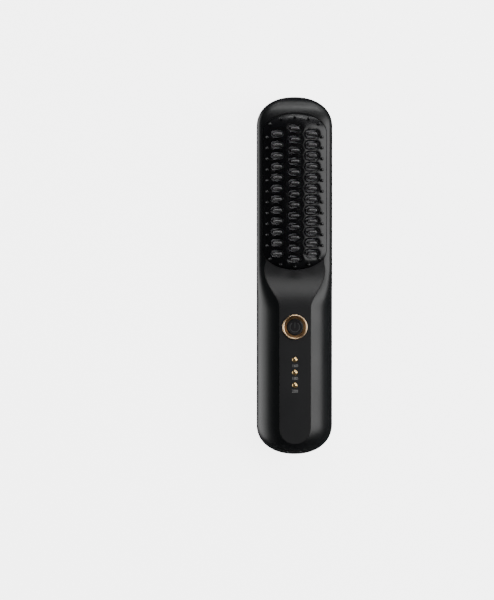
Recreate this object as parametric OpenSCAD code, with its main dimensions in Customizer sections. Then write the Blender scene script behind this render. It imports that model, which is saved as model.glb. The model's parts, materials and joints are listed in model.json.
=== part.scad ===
// Cordless hair straightening brush, lying on its back.
// Length along Y with the head at +Y, the teeth point up along +Z, and the
// origin is at the middle of the flat strip that the back rests on.

/* [Body] */
// Length of the whole brush
body_l = 205; // [195:1:225]
// Width of the body
body_w = 43.5; // [42:0.5:50]
// Depth of the body behind the seam between the two housing halves
back_d = 16; // [15.5:0.5:20]
// How much of the round back is cut away to make the flat resting strip
back_flat = 0.3; // [0.2:0.1:0.8]
// Crown of the handle above the seam, before the front panel's flat cuts it
handle_crown = 16; // [16:0.5:18]
// Height of the front panel's flat above the seam
panel_rise = 14.6; // [14:0.1:15.4]
// Height of the head's rim above the seam
head_crown = 9; // [8:0.2:10]
// Length of the rounded part at each end
end_l = 17.4; // [14:0.2:20]
// Wall thickness of both housing halves
wall = 1.8; // [1.4:0.1:2.2]

/* [Neck] */
// Length of the ramp from the handle down to the head
ramp_l = 24.5; // [22:0.5:26]
// How far the ramp runs on beside the comb plate's near end
ramp_under = 2.25; // [1.5:0.25:3]
// Thickness of the front panel
panel_t = 1.2; // [0.8:0.1:1.5]

/* [Comb plate] */
// Half width of the comb plate
plate_hw = 18; // [17:0.1:18.5]
// Length of the comb plate
plate_l = 89.3; // [88:0.1:92]
// Distance from the head's end to the comb plate
plate_margin = 9.45; // [9.2:0.05:11]
// Length of the plate's elliptical end
plate_end = 11; // [10:0.5:13]
// Rise of the plate's middle over its edge
plate_crown = 3; // [2:0.1:3.6]
// Thickness of the plate
plate_t = 2; // [1.6:0.1:2.2]
// Gap round the plate
plate_gap = 0.25; // [0.15:0.05:0.4]
// Width of the ledge that carries the plate
ledge_w = 1.6; // [1.2:0.1:1.8]

/* [Teeth] */
// Teeth in the middle column
middle_count = 13; // [5:1:13]
// Plate length left free beyond the first and the last tooth of the middle column
tooth_margin = 14.66; // [14.2:0.02:20]
// Distance between the columns
column_gap = 9.9; // [9.7:0.1:10.2]
// How far the rows sit toward the handle from the plate's middle
row_shift = 1.4; // [0:0.1:2]
// Length of a tooth's foot across the brush
tooth_w = 5.4; // [5:0.1:5.6]
// Thickness of a tooth's foot
tooth_t = 2.4; // [2:0.1:2.6]
// Length of a tooth's tip across the brush
tip_w = 4.9; // [4.4:0.1:4.9]
// Thickness of a tooth's tip
tip_t = 1.8; // [1.4:0.1:1.9]
// Height of the tips above the plate's crown
tooth_rise = 8.5; // [7:0.5:10]
// Height of the cool tip on each tooth
tip_h = 2.4; // [1.6:0.2:3]
// Length of a well in the plate
well_w = 7.6; // [7.2:0.1:8]
// Width of a well in the plate
well_t = 4.3; // [4:0.1:4.6]

/* [Guard pins] */
// Guard pins along each side
side_pins = 11; // [3:1:11]
// Straight edge left free beyond the first and the last side pin
pin_margin = 5.3; // [5:0.1:10]
// Radius of a guard pin
pin_r = 0.9; // [0.7:0.05:1]
// Height of a guard pin above the plate
pin_h = 2.2; // [1.5:0.1:3]
// Distance from the plate's edge to the pins
pin_inset = 2.3; // [2.1:0.1:2.6]

/* [Button and lights] */
// Distance from the start of the ramp back to the button
button_back = 10.6; // [10.4:0.1:12.5]
// Outer radius of the button ring
ring_r = 7.2; // [6.8:0.1:7.4]
// Height of the ring above the panel
ring_h = 0.9; // [0.5:0.1:1.2]
// Radius of the button
button_r = 4.65; // [4.3:0.05:4.8]
// How far the button travels
button_travel = 0.5; // [0.3:0.05:0.5]
// Distance from the button back to the first indicator light
light_back = 18.7; // [17:0.1:20]
// Distance between the indicator lights
light_pitch = 7.28; // [6.4:0.02:7.6]
// Radius of an indicator light
light_r = 1.55; // [1.2:0.05:1.7]
// Number of indicator lights
light_count = 3; // [1:1:3]

/* [Inside] */
// Diameter of the battery cell
cell_d = 18.4; // [17.4:0.1:18.4]
// Room along Y between the battery cell and the screw posts
cell_room = 5; // [3:0.5:10]
// Thickness of the circuit board
board_t = 1.6; // [1:0.2:1.6]
// Half width of the circuit board
board_hw = 7.5; // [7.2:0.1:8.5]
// Thickness of the heater plate
heater_t = 2; // [1.5:0.1:2]
// Thickness of the ceramic heating elements
ptc_t = 2.4; // [2:0.1:2.6]

/* [Hidden] */
$fn = 48;

// Loose fit between seated pieces, and a running gap between moving ones.
fit = 0.05;
gap = 0.3;
over = 1;

// Places along Y, worked out from the two ends of the body.
plate_y = body_l / 2 - plate_margin - plate_l / 2;
plate_y0 = plate_y - plate_l / 2;
ramp_start = plate_y0 + ramp_under - ramp_l;
button_y = ramp_start - button_back;
light_y = button_y - light_back;
tooth_pitch = (plate_l - tooth_margin) / (middle_count - 1);
pin_pitch = (plate_l - 2 * plate_end - pin_margin) / (side_pins - 1);

// The seam's height and the exponents of the body's rounded sections.
seam_z = back_d;
end_n = 2.2;
handle_p = 2;
head_p = 5;
handle_end_n = 3;
head_end_n = 2.2;
morph_start = ramp_start - 2.5;
morph_l = ramp_l + 4.5;

// Levels of the front, from the outside in.
panel_z = seam_z + panel_rise;
deck_top = panel_z - panel_t;
deck_t = 1.6;
deck_low = deck_top - deck_t;
panel_gap = 0.12;
plate_edge_z = seam_z + head_crown - 0.5;
plate_top_z = plate_edge_z + plate_crown;
ledge_z = plate_edge_z - plate_t;
ledge_t = 1.5;
ledge_root = 1.4;

// Levels of the heater stack in the head.
heater_top = ledge_z - 1.3;
heater_low = heater_top - heater_t;
ptc_low = heater_low - ptc_t;
sheet_t = 0.5;
sheet_low = ptc_low - sheet_t;
press_t = 0.8;
press_low = sheet_low - press_t;
tray_floor_t = 1.2;
tray_floor = press_low - 1.6;
tray_low = tray_floor - tray_floor_t;
tray_wall = 1.3;
heater_inset = 3.2;
tray_inset = 3;

// Levels of the button stack on the circuit board.
cell_r = cell_d / 2;
cell_z = wall + 0.5 + cell_r;
cell_y0 = -body_l / 2 + 10.5;
pad_t = 0.65;
board_low = cell_z + cell_r + fit + pad_t;
board_top = board_low + board_t;
frame_t = 0.25;
button_low = deck_low - gap - 1.4;
frame_top = button_low - button_travel - 0.25;
base_top = frame_top - frame_t;
plunger_top = button_low - gap;
plunger_r = 1.75;
base_floor = board_top + 0.4;
dome_h = 0.7;
plunger_low = base_floor + dome_h + 0.2;
ring_lip = 0.8;
board_y0 = -body_l / 2 + 7.5;
board_y1 = button_y + 5.7;

// The charge socket stands on the board's end.
socket_w = 8.94;
socket_h = 3.26;
socket_l = 7.3;
socket_skin = 0.3;
socket_fit = 0.2;
socket_y0 = -body_l / 2 + 1.5;
socket_z = board_top + socket_h / 2;

// Screws: shank and head radius, head height, and shank length.
screw_r = 0.95;
screw_head_r = 1.9;
screw_head_h = 1.3;
tray_screw_l = 8;
housing_screw_l = 10;
post_r = 2.8;
tray_screw_x = 11.5;
tray_screw_span = plate_l - 36.3;
tray_screw_y = [plate_y - tray_screw_span / 2, plate_y + tray_screw_span / 2];
housing_screw_x = 6.2;
housing_screw_y = ramp_start - 0.7;
housing_seat_z = seam_z + 3.6;
hole_fit = 0.15;
screw_relief = 0.5;
far = 40;

// The cell fills the handle from its end up to the housing screws.
cell_l = housing_screw_y - post_r - cell_room - cell_y0;

// Colours of the finished pieces.
satin_black = "#1c1d20";
matt_black = "#26272a";
deep_black = "#101013";
champagne = "#d9b48a";
metal = "#b9bcc0";
board_green = "#1f5a3a";
white_ceramic = "#e6e2da";
tooth_black = "#303134";
tip_black = "#46474b";

// A value between 0 and 1 that eases in and out.
function ease(t) = t <= 0 ? 0 : t >= 1 ? 1 : t * t * (3 - 2 * t);

// Height of a superellipse's quarter at the share u of its width.
function super(u, n) = u >= 1 ? 0 : pow(1 - pow(u, n), 1 / n);

// How far along a rounded end the place y is, for a body inset by d.
function end_share(y, d) =
    let (start = body_l / 2 - end_l)
    max(0, (abs(y) - start) / (end_l - d));

// The share of the way from the handle's section to the head's.
function morph(y) = ease((y - morph_start) / morph_l);

function half_width(y, d) =
    (body_w / 2 - d) * super(end_share(y, d), end_n);
function front_rise(y, d) =
    let (n = y > 0 ? head_end_n : handle_end_n)
    (handle_crown + (head_crown - handle_crown) * morph(y) - d)
    * super(end_share(y, d), n);
function front_power(y) = handle_p + (head_p - handle_p) * morph(y);
function back_fall(y, d) =
    (back_d + back_flat - d) * super(end_share(y, d), handle_end_n);

// A point of a rounded section, by its polar angle.
function section_point(a, w, h, p) =
    let (r = pow(pow(abs(cos(a)), p) + pow(abs(sin(a)), p), -1 / p))
    [w * r * cos(a), h * r * sin(a)];

// Places along Y of a loft's rings: close together in the ends and the neck.
function stations(d, ends, necks) =
    let (
        start = body_l / 2 - end_l,
        reach = end_l - d,
        dome = [for (i = [0:ends - 1]) start + reach * sin(90 * i / ends)]
    )
    concat(
        [for (i = [ends - 1:-1:0]) -dome[i]],
        [for (i = [0:necks]) morph_start + morph_l * i / necks],
        dome
    );

// One half of the body as a closed loft: the front for side 1, the back for
// side -1. With a lap its open face is carried past the seam as a cutter.
module half_body(side, d, lap, ends, necks, steps) {
    ys = stations(d, ends, necks);
    skirt = lap > 0 ? 1 : 0;
    ring = steps + 1 + 2 * skirt;
    rings = len(ys);
    floor_z = back_d - d;
    lap_z = seam_z - side * lap;
    points = concat(
        [for (y = ys)
            let (
                w = half_width(y, d),
                h = side > 0 ? front_rise(y, d) : back_fall(y, d),
                p = side > 0 ? front_power(y) : handle_p
            )
            each concat(
                skirt > 0 ? [[w, y, lap_z]] : [],
                [for (i = [0:steps])
                    let (
                        q = section_point(180 * i / steps, w, h, p),
                        rise = i == 0 || i == steps ? 0 : q[1]
                    )
                    [q[0], y, seam_z + (side > 0 ? rise : -min(rise, floor_z))]],
                skirt > 0 ? [[-w, y, lap_z]] : []
            )],
        [[0, -(body_l / 2 - d), seam_z], [0, body_l / 2 - d, seam_z]]
    );
    last = rings * ring;
    k = last - ring;
    faces = concat(
        [for (m = [0:rings - 2]) for (i = [0:ring - 1])
            let (a = m * ring + i, b = m * ring + (i + 1) % ring)
            each [[a, b, b + ring], [a, b + ring, a + ring]]],
        [for (i = [0:ring - 1]) [last, (i + 1) % ring, i]],
        [for (i = [0:ring - 1]) [k + i, k + (i + 1) % ring, last + 1]]
    );
    polyhedron(points, side > 0 ? faces : [for (f = faces) [f[2], f[1], f[0]]]);
}

// The plate's plan outline, grown by g.
function plate_outline(g, steps = 18) =
    let (
        a = plate_hw + g,
        b = plate_end + g,
        half = plate_l / 2 - plate_end
    )
    concat(
        [for (i = [0:steps]) let (t = 180 * i / steps) [a * cos(t), plate_y + half + b * sin(t)]],
        [for (i = [0:steps]) let (t = 180 + 180 * i / steps) [a * cos(t), plate_y - half + b * sin(t)]]
    );

module plate_prism(g, z0, z1) {
    translate([0, 0, z0]) linear_extrude(z1 - z0) polygon(plate_outline(g));
}

// Half width and crown of the comb plate at y.
function plate_half(y, g) =
    let (
        b = plate_end + g,
        u = max(0, (abs(y - plate_y) - (plate_l / 2 - plate_end)) / b)
    )
    (plate_hw + g) * (u >= 1 ? 0 : sqrt(1 - u * u));
function plate_height(x, y) =
    let (w = plate_half(y, 0))
    w <= 0 ? plate_edge_z
    : plate_edge_z + plate_crown * (w / plate_hw) * max(0, 1 - pow(x / w, 2));

// A crowned pillow: the plate's outline shrunk by d and lowered by drop.
module pillow(d, drop, z0, ends, steps) {
    half = plate_l / 2 - plate_end;
    dome = [for (i = [0:ends - 1]) half + (plate_end - d) * sin(90 * i / ends)];
    ys = concat([for (i = [ends - 1:-1:0]) plate_y - dome[i]], [for (v = dome) plate_y + v]);
    ring = steps + 3;
    rings = len(ys);
    tip = plate_l / 2 - d;
    points = concat(
        [for (y = ys)
            let (w = plate_half(y, -d))
            each concat(
                [[w, y, z0]],
                [for (i = [0:steps])
                    let (x = w * cos(180 * i / steps))
                    [x, y, plate_edge_z - drop
                        + plate_crown * (w / plate_hw) * (1 - pow(w > 0 ? x / w : 0, 2))]],
                [[-w, y, z0]]
            )],
        [[0, plate_y - tip, z0], [0, plate_y - tip, plate_edge_z - drop],
         [0, plate_y + tip, z0], [0, plate_y + tip, plate_edge_z - drop]]
    );
    last = rings * ring;
    k = (rings - 1) * ring;
    faces = concat(
        [for (j = [0:rings - 2]) for (i = [0:ring - 1])
            let (a = j * ring + i, b = j * ring + (i + 1) % ring)
            each [[a, b + ring, b], [a, a + ring, b + ring]]],
        [for (i = [1:ring - 3]) [last + 1, i, i + 1]],
        [[last, 0, 1], [last, 1, last + 1]],
        [[last + 1, ring - 2, ring - 1], [last + 1, ring - 1, last]],
        [[last, ring - 1, 0]],
        [for (i = [1:ring - 3]) [last + 3, k + i + 1, k + i]],
        [[last + 2, k + 1, k], [last + 2, last + 3, k + 1]],
        [[last + 3, k + ring - 1, k + ring - 2], [last + 3, last + 2, k + ring - 1]],
        [[last + 2, k, k + ring - 1]]
    );
    polyhedron(points, [for (f = faces) [f[2], f[1], f[0]]]);
}

// Height of the front panel at y: the handle's flat, the ramp, the head.
function panel_height(y) =
    let (t = (y - ramp_start) / ramp_l)
    panel_z + (plate_edge_z - panel_z) * ease(t);

// The space above the front panel's underside or face, as seen from the side.
module above_panel(drop, y1, steps = 14) {
    pts = concat(
        [[-body_l, panel_z - drop]],
        [for (i = [0:steps])
            let (y = ramp_start + ramp_l * i / steps)
            [y, panel_height(y) - drop]],
        [[y1, plate_edge_z - drop], [y1, panel_z + far], [-body_l, panel_z + far]]
    );
    rotate([90, 0, 90])
        translate([0, 0, -body_w])
            linear_extrude(2 * body_w)
                polygon(pts);
}

// Half width of the flat that the panel's face cuts from the body at y.
function crease(y) =
    let (
        share = (panel_height(y) - seam_z) / front_rise(y, 0),
        p = front_power(y)
    )
    half_width(y, 0) * super(share, p);

// The front panel's outline in plan, drawn in by g, from the handle's end to
// the tips that reach up beside the comb plate.
panel_y1 = plate_y - plate_l / 2 + plate_end;
module panel_prism(g, ends = 9, steps = 14) {
    start = body_l / 2 - end_l;
    reach = end_l * super(panel_rise / handle_crown, handle_end_n);
    ys = concat(
        [for (i = [ends - 1:-1:1]) -start - reach * sin(90 * i / ends)],
        [-start],
        [for (i = [0:steps]) ramp_start + ramp_l * i / steps],
        [panel_y1]
    );
    n = len(ys);
    translate([0, 0, seam_z])
        linear_extrude(panel_z)
            polygon(concat(
                [[0, g - start - reach]],
                [for (y = ys) [crease(y) - g, y]],
                [for (i = [n - 1:-1:0]) [g - crease(ys[i]), ys[i]]]
            ));
}

// Rounded slot in plan, w by t.
module slot(w, t) {
    square([w - t, t], center = true);
    for (s = [-1, 1])
        translate([s * (w - t) / 2, 0])
            circle(d = t);
}

// Places of the teeth in a column, and of the guard pins.
function column_count(side) = side == 0 ? middle_count : middle_count - 1;
function column_places(side) =
    let (n = column_count(side))
    [for (i = [0:n - 1])
        [side * column_gap, plate_y - row_shift + (i - (n - 1) / 2) * tooth_pitch]];
function all_teeth() = concat(column_places(-1), column_places(0), column_places(1));

// The pins round each end follow an ellipse a little outside the side pins.
pin_turn = 29;
pin_sink = 1;
pin_fit = 0.03;
pin_a = plate_hw - pin_inset + pin_r;
pin_b = plate_end - pin_inset + pin_r * 2 / 3;
function pin_places() = concat(
    [for (s = [-1, 1]) for (i = [0:side_pins - 1])
        [s * (plate_hw - pin_inset), plate_y + (i - (side_pins - 1) / 2) * pin_pitch]],
    [for (s = [-1, 1]) for (i = [-2:2])
        [pin_a * sin(pin_turn * i), plate_y + s * (plate_l / 2 - plate_end + pin_b * cos(pin_turn * i))]]
);

light_places = [for (i = [0:light_count - 1]) light_y - i * light_pitch];

module screw(l) {
    cylinder(r = screw_head_r, h = screw_head_h);
    translate([0, 0, -l])
        cylinder(r = screw_r, h = l + fit);
}

module at_tray_screws() {
    for (s = [-1, 1])
        for (y = tray_screw_y)
            translate([s * tray_screw_x, y, 0])
                children();
}

module at_housing_screws() {
    for (s = [-1, 1])
        translate([s * housing_screw_x, housing_screw_y, 0])
            children();
}

// What stands on the back shell's floor: posts, and ribs that cradle the cell.
rib_t = 1.2;
rib_count = 3;
rib_room = 10;
module back_inside() {
    rib_pitch = (cell_l - 2 * rib_room) / (rib_count - 1);
    at_tray_screws() cylinder(r = post_r, h = tray_low);
    at_housing_screws() cylinder(r = post_r, h = seam_z);
    difference() {
        for (i = [0:rib_count - 1])
            translate([-body_w / 2, cell_y0 + rib_room + i * rib_pitch - rib_t / 2, 0])
                cube([body_w, rib_t, cell_z - over]);
        translate([0, cell_y0 - over, cell_z])
            rotate([-90, 0, 0])
                cylinder(r = cell_r + fit, h = cell_l + 2 * over);
    }
}

module back_shell() {
    color(satin_black)
    difference() {
        half_body(-1, 0, 0, 9, 4, 28);
        difference() {
            half_body(-1, wall, over, 6, 3, 18);
            back_inside();
        }
        at_tray_screws()
            translate([0, 0, tray_floor - tray_screw_l - screw_relief])
                cylinder(r = screw_r + fit, h = far);
        at_housing_screws()
            translate([0, 0, housing_seat_z - housing_screw_l - screw_relief])
                cylinder(r = screw_r + fit, h = far);
    }
}

// What hangs from the front cover: screw posts, board posts, the plate ledge.
board_post_r = 1.3;
board_post_x = board_hw - board_post_r - 0.4;
board_post_y = [board_y0 + 9.5, board_y1 - 12.5];
module front_inside() {
    at_housing_screws()
        translate([0, 0, seam_z])
            cylinder(r = post_r, h = far);
    for (s = [-1, 1])
        for (y = board_post_y)
            translate([s * board_post_x, y, board_top])
                cylinder(r = board_post_r, h = far);
    difference() {
        plate_prism(ledge_root, ledge_z - ledge_t, ledge_z + far);
        plate_prism(-ledge_w + plate_gap, ledge_z - far, ledge_z + 2 * far);
    }
}

module front_cover() {
    color(satin_black)
    difference() {
        half_body(1, 0, 0, 9, 10, 28);
        above_panel(0, panel_y1);
        intersection() {
            panel_prism(0);
            above_panel(panel_t, panel_y1);
        }
        difference() {
            intersection() {
                half_body(1, wall, over, 6, 6, 18);
                translate([-body_w, -body_l, 0])
                    cube([2 * body_w, 2 * body_l, deck_low]);
            }
            above_panel(panel_t + deck_t, panel_y1);
            front_inside();
        }
        plate_prism(plate_gap, ledge_z, seam_z + far);
        plate_prism(-ledge_w + plate_gap, 0, seam_z + far);
        at_housing_screws() {
            translate([0, 0, seam_z - over])
                cylinder(r = screw_r + hole_fit, h = far);
            translate([0, 0, housing_seat_z])
                cylinder(r = screw_head_r + hole_fit, h = far);
        }
        translate([0, button_y, deck_low - over])
            cylinder(r = button_r + gap, h = far);
        for (y = light_places)
            translate([0, y, deck_low - over])
                cylinder(r = light_r + fit, h = far);
        translate([0, socket_y0 + socket_l + gap, socket_z])
            rotate([90, 0, 0])
                linear_extrude(far)
                    slot(socket_w + 2 * socket_fit, socket_h + 2 * socket_fit);
    }
}

module front_panel() {
    color(matt_black)
    difference() {
        intersection() {
            panel_prism(panel_gap);
            above_panel(panel_t, panel_y1);
        }
        above_panel(0, panel_y1);
        plate_prism(plate_gap, 0, seam_z + far);
        translate([0, button_y, deck_top - over])
            cylinder(r = ring_r - ring_lip + fit, h = far);
        for (y = light_places)
            translate([0, y, deck_top - over])
                cylinder(r = light_r + fit, h = far);
    }
}

foot_room = 0.4;
module comb_plate() {
    color(deep_black)
    difference() {
        pillow(0, 0, ledge_z, 8, 20);
        pillow(ledge_w + foot_room, plate_t, ledge_z - over, 5, 12);
        for (q = all_teeth())
            translate([q[0], q[1], 0])
                linear_extrude(seam_z + far)
                    slot(well_w, well_t);
        for (q = pin_places())
            translate([q[0], q[1], plate_height(q[0], q[1]) - pin_sink])
                cylinder(r = pin_r + pin_fit, h = far);
    }
}

module guard_pins() {
    color(deep_black)
    for (q = pin_places()) {
        z = plate_height(q[0], q[1]);
        translate([q[0], q[1], z - pin_sink])
            cylinder(r = pin_r, h = pin_h + pin_sink - pin_r);
        translate([q[0], q[1], z + pin_h - pin_r])
            sphere(r = pin_r);
    }
}

module heater_plate() {
    color(metal)
    plate_prism(-heater_inset, heater_low, heater_top);
}

tip_top = plate_top_z + tooth_rise;
tooth_h = tip_top - tip_h - heater_top;

// A heated tooth: a rounded blade that tapers from its foot to the tip.
module tooth() {
    linear_extrude(tooth_h, scale = [tip_w / tooth_w, tip_t / tooth_t], slices = 1)
        slot(tooth_w, tooth_t, $fn = 16);
}

// The cool cap on a tooth: a straight skirt under a rounded top.
module tooth_tip() {
    linear_extrude(tip_h - tip_t / 2)
        slot(tip_w, tip_t);
    translate([-(tip_w - tip_t) / 2, 0, tip_h - tip_t / 2]) {
        rotate([0, 90, 0])
            cylinder(d = tip_t, h = tip_w - tip_t);
        for (x = [0, tip_w - tip_t])
            translate([x, 0, 0])
                sphere(d = tip_t);
    }
}

module teeth(side) {
    color(tooth_black)
    for (q = column_places(side))
        translate([q[0], q[1], heater_top])
            tooth();
}

module tips(side) {
    color(tip_black)
    for (q = column_places(side))
        translate([q[0], q[1], tip_top - tip_h])
            tooth_tip();
}

// Two ceramic elements that heat the plate, end to end.
element_room = 13.65;
element_split = 2;
element_l = plate_l / 2 - element_room;
element_hw = 8.5;
module heating_elements() {
    color(white_ceramic)
    for (s = [-1, 1])
        translate([-element_hw, plate_y + s * (element_l + element_split) / 2 - element_l / 2, ptc_low])
            cube([2 * element_hw, element_l, ptc_t]);
}

sheet_edge = 0.8;
sheet_l = 2 * element_l + 2 * element_split;
module insulation_sheet() {
    color("#c9a86a")
    translate([-element_hw - sheet_edge, plate_y - sheet_l / 2, sheet_low])
        cube([2 * element_hw + 2 * sheet_edge, sheet_l, sheet_t]);
}

// A steel plate with pressed feet that hold the stack against the heater.
foot_w = 6;
foot_l = 2.4;
module pressure_plate() {
    press_l = sheet_l - 2 * sheet_edge;
    foot_pitch = press_l * 3 / 8;
    color(metal) {
        translate([-element_hw, plate_y - press_l / 2, press_low])
            cube([2 * element_hw, press_l, press_t]);
        for (i = [-1:1])
            translate([-foot_w / 2, plate_y + i * foot_pitch - foot_l / 2, tray_floor])
                cube([foot_w, foot_l, press_low - tray_floor + press_t / 2]);
    }
}

notch_w = 6.4;
notch_h = 2.6;
module heater_tray() {
    color(matt_black)
    difference() {
        plate_prism(-tray_inset, tray_low, heater_low);
        plate_prism(-tray_inset - tray_wall, tray_floor, heater_low + over);
        at_tray_screws()
            translate([0, 0, tray_low - over])
                cylinder(r = screw_r + hole_fit, h = far);
        translate([-notch_w / 2, plate_y0, tray_floor])
            cube([notch_w, tray_inset + 3 * tray_wall, notch_h]);
    }
}

fuse_r = 1.5;
fuse_l = 9;
fuse_room = 0.4;
module thermal_fuse() {
    color(metal)
    translate([-fuse_l / 2, plate_y + sheet_l / 2 + fuse_r + fuse_room, heater_low - fuse_r - fit])
        rotate([0, 90, 0])
            cylinder(r = fuse_r, h = fuse_l);
}

sensor_r = 0.9;
sensor_l = 4;
module temperature_sensor() {
    color("#20242a")
    translate([-sensor_l / 2, plate_y - sheet_l / 2 - sensor_r - fuse_room, heater_low - sensor_r - fit]) {
        rotate([0, 90, 0])
            cylinder(r = sensor_r, h = sensor_l);
        sphere(r = sensor_r);
    }
}

module tray_screws() {
    color(metal)
    at_tray_screws()
        translate([0, 0, tray_floor])
            screw(tray_screw_l);
}

module housing_screws() {
    color(metal)
    at_housing_screws()
        translate([0, 0, housing_seat_z])
            screw(housing_screw_l);
}

// The ring's section: a bright rim, then stepped rings down to the button.
ring_bore = button_r + 0.1;
ring_steps = 4;
ring_rim = 1.2;
ring_edge = 0.35;
module button_ring() {
    rim_in = ring_r - ring_rim;
    step = (rim_in - ring_bore) / ring_steps;
    drop = (ring_h + 0.1) / ring_steps;
    color(champagne)
    translate([0, button_y, panel_z])
        rotate_extrude()
            polygon(concat(
                [[ring_bore, -panel_t], [ring_r - ring_lip, -panel_t], [ring_r - ring_lip, 0],
                 [ring_r, 0], [ring_r, ring_h - ring_edge], [ring_r - ring_edge, ring_h], [rim_in, ring_h]],
                [for (i = [0:ring_steps - 1])
                    each [[rim_in - i * step, ring_h - (i + 1) * drop],
                          [rim_in - (i + 1) * step, ring_h - (i + 1) * drop]]]
            ));
}

button_top = panel_z - 0.1;
button_edge = 0.4;
flange_w = 0.9;
module power_button() {
    color(matt_black)
    translate([0, button_y, 0])
        rotate_extrude()
            polygon([
                [0, button_low], [button_r + flange_w, button_low],
                [button_r + flange_w, deck_low - gap], [button_r, deck_low - gap],
                [button_r, button_top - button_edge], [button_r - button_edge, button_top],
                [0, button_top]
            ]);
}

base_hw = 3.1;
pocket_r = 2.4;
module switch_base() {
    color(deep_black)
    difference() {
        translate([-base_hw, button_y - base_hw, board_top])
            cube([2 * base_hw, 2 * base_hw, base_top - board_top]);
        translate([0, button_y, base_floor])
            cylinder(r = pocket_r, h = far);
    }
}

module switch_dome() {
    color(metal)
    translate([0, button_y, base_floor])
        rotate_extrude()
            polygon([[0, dome_h - 0.15], [1.3, dome_h - 0.25], [2.2, 0], [2, 0],
                     [1.2, dome_h - 0.4], [0, dome_h - 0.3]]);
}

plunger_foot = 0.3;
module switch_plunger() {
    color(matt_black)
    translate([0, button_y, 0]) {
        translate([0, 0, plunger_low])
            cylinder(r = plunger_r, h = plunger_top - plunger_low);
        translate([0, 0, plunger_low])
            cylinder(r = pocket_r - gap, h = plunger_foot);
    }
}

module switch_frame() {
    color(metal)
    difference() {
        translate([-base_hw, button_y - base_hw, base_top])
            cube([2 * base_hw, 2 * base_hw, frame_t]);
        translate([0, button_y, base_top - over])
            cylinder(r = plunger_r + 0.08, h = far);
    }
}

// Light pipes: a dome above the panel, a shoulder under the deck.
led_h = 1.1;
led_w = 2;
led_l = 1.6;
light_dome = 0.7;
shoulder = 0.8;
module light_pipes() {
    dome_r = (light_r * light_r + light_dome * light_dome) / (2 * light_dome);
    color(champagne)
    for (y = light_places)
        translate([0, y, 0]) {
            translate([0, 0, board_top + led_h + gap])
                cylinder(r = light_r, h = panel_z - board_top - led_h - gap);
            translate([0, 0, deck_low - shoulder])
                cylinder(r = light_r + 0.6, h = shoulder);
            intersection() {
                translate([0, 0, panel_z + light_dome - dome_r])
                    sphere(r = dome_r);
                translate([0, 0, panel_z - fit])
                    cylinder(r = light_r, h = far);
            }
        }
}

module indicator_leds() {
    color("#f4efd8")
    for (y = light_places)
        translate([-led_w / 2, y - led_l / 2, board_top])
            cube([led_w, led_l, led_h]);
}

module circuit_board() {
    color(board_green)
    translate([-board_hw, board_y0, board_low])
        cube([2 * board_hw, board_y1 - board_y0, board_t]);
}

// The chip sits between the last light and the socket.
chip_w = 5;
chip_h = 0.9;
module controller_chip() {
    last_light = light_places[light_count - 1];
    color(deep_black)
    translate([-chip_w / 2, (last_light + board_y0 - chip_w) / 2, board_top])
        cube([chip_w, chip_w, chip_h]);
}

// The transistor sits between the button and the first light.
transistor = [6.6, 4, 2.2];
module power_transistor() {
    color(deep_black)
    translate([-transistor[0] / 2, (button_y + light_y - transistor[1]) / 2, board_top])
        cube(transistor);
}

module charge_socket() {
    color(metal)
    translate([0, socket_y0 + socket_l, socket_z])
        rotate([90, 0, 0])
            difference() {
                linear_extrude(socket_l)
                    slot(socket_w, socket_h);
                translate([0, 0, socket_skin])
                    linear_extrude(socket_l)
                        slot(socket_w - 2 * socket_skin, socket_h - 2 * socket_skin);
            }
}

tongue_w = 6.6;
tongue_t = 0.7;
tongue_back = 0.9;
module socket_tongue() {
    color(deep_black)
    translate([-tongue_w / 2, socket_y0 + tongue_back, socket_z - tongue_t / 2])
        cube([tongue_w, socket_l - socket_skin - tongue_back, tongue_t]);
}

module battery_cell() {
    color("#2b6cb0")
    translate([0, cell_y0, cell_z])
        rotate([-90, 0, 0])
            cylinder(r = cell_r, h = cell_l);
}

tab_t = 0.2;
tab_w = 7;
tab_h = 8;
tab_drop = 3;
module battery_tabs() {
    color(metal)
    for (y = [cell_y0 - fit - tab_t, cell_y0 + cell_l + fit])
        translate([-tab_w / 2, y, cell_z - tab_drop])
            cube([tab_w, tab_t, tab_h]);
}

pad_w = 10;
pad_room = 15.5;
module battery_pad() {
    color("#4a4a4a")
    translate([-pad_w / 2, cell_y0 + pad_room, board_low - pad_t])
        cube([pad_w, cell_l - 2 * pad_room, pad_t]);
}

lead_r = 0.7;
module battery_leads() {
    for (s = [-1, 1]) {
        off = lead_r + tab_t + 2 * fit;
        y = s < 0 ? cell_y0 - off : cell_y0 + cell_l + off;
        color(s < 0 ? "#202020" : "#b02020")
        translate([0, y, cell_z])
            cylinder(r = lead_r, h = board_low - cell_z);
    }
}

// A round wire along points that share one x, as rings about its route.
module wire(pts, r, sides = 8) {
    n = len(pts);
    along = [for (i = [0:n - 1])
        let (d = pts[min(i + 1, n - 1)] - pts[max(i - 1, 0)])
        d / norm(d)];
    rings = [for (i = [0:n - 1]) for (j = [0:sides - 1])
        let (a = 360 * j / sides, t = along[i])
        pts[i] + r * [cos(a), -sin(a) * t[2], sin(a) * t[1]]];
    polyhedron(rings, concat(
        [[for (j = [0:sides - 1]) j]],
        [[for (j = [0:sides - 1]) n * sides - 1 - j]],
        [for (i = [0:n - 2]) for (j = [0:sides - 1])
            let (a = i * sides + j, b = i * sides + (j + 1) % sides)
            each [[a, b + sides, b], [a, a + sides, b + sides]]]
    ));
}

// The heater's wires run from the board's end down the neck and into the tray.
lead_x = 1.6;
lead_drop = 4;
lead_in = 8;
module heater_leads() {
    lead_z = tray_floor + lead_r + gap;
    color("#d8d8d8")
    for (x = [-lead_x, lead_x])
        wire([
            [x, board_y1 + lead_r / 3, board_low + board_t / 2],
            [x, board_y1 + lead_drop, board_low],
            [x, (board_y1 + plate_y0) / 2, (board_low + lead_z) / 2],
            [x, plate_y0 - lead_drop, lead_z + lead_r],
            [x, plate_y0 + lead_in, lead_z]
        ], lead_r);
}

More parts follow.
